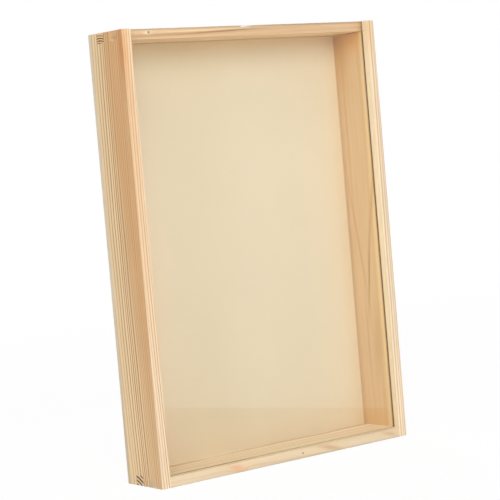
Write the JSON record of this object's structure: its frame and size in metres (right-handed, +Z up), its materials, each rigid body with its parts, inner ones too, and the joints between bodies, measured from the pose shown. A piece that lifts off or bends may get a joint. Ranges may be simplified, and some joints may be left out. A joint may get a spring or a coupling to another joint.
{
  "type": "butterfly display case",
  "caption": "Upright shallow pine display case with finger-jointed corners, a plywood back and a clear lid that slides up and out of grooves.",
  "frame": {"origin": "under the middle of the case, on the surface that it stands on", "axes": "+Z up along the case's height, which is also the lid's way out; +X across its width, to the right seen from the front; -Y out of the clear front, +Y out of the plywood back"},
  "size_m": [0.25, 0.048, 0.35],
  "materials": {
    "pine": "sanded bare",
    "plywood": "sanded bare",
    "clear_acrylic": "clear polished"
  },
  "bodies": {
    "case": {"left_side": "pine", "right_side": "pine", "top_rail": "pine", "bottom_rail": "pine", "back_panel": "plywood"},
    "lid": {"sliding_lid": "clear_acrylic"}
  },
  "joints": [
    {"name": "lid_slide", "type": "slide", "parent": "case", "child": "lid", "axis": [0, 0, 1], "range_m": [0, 0.34]}
  ]
}
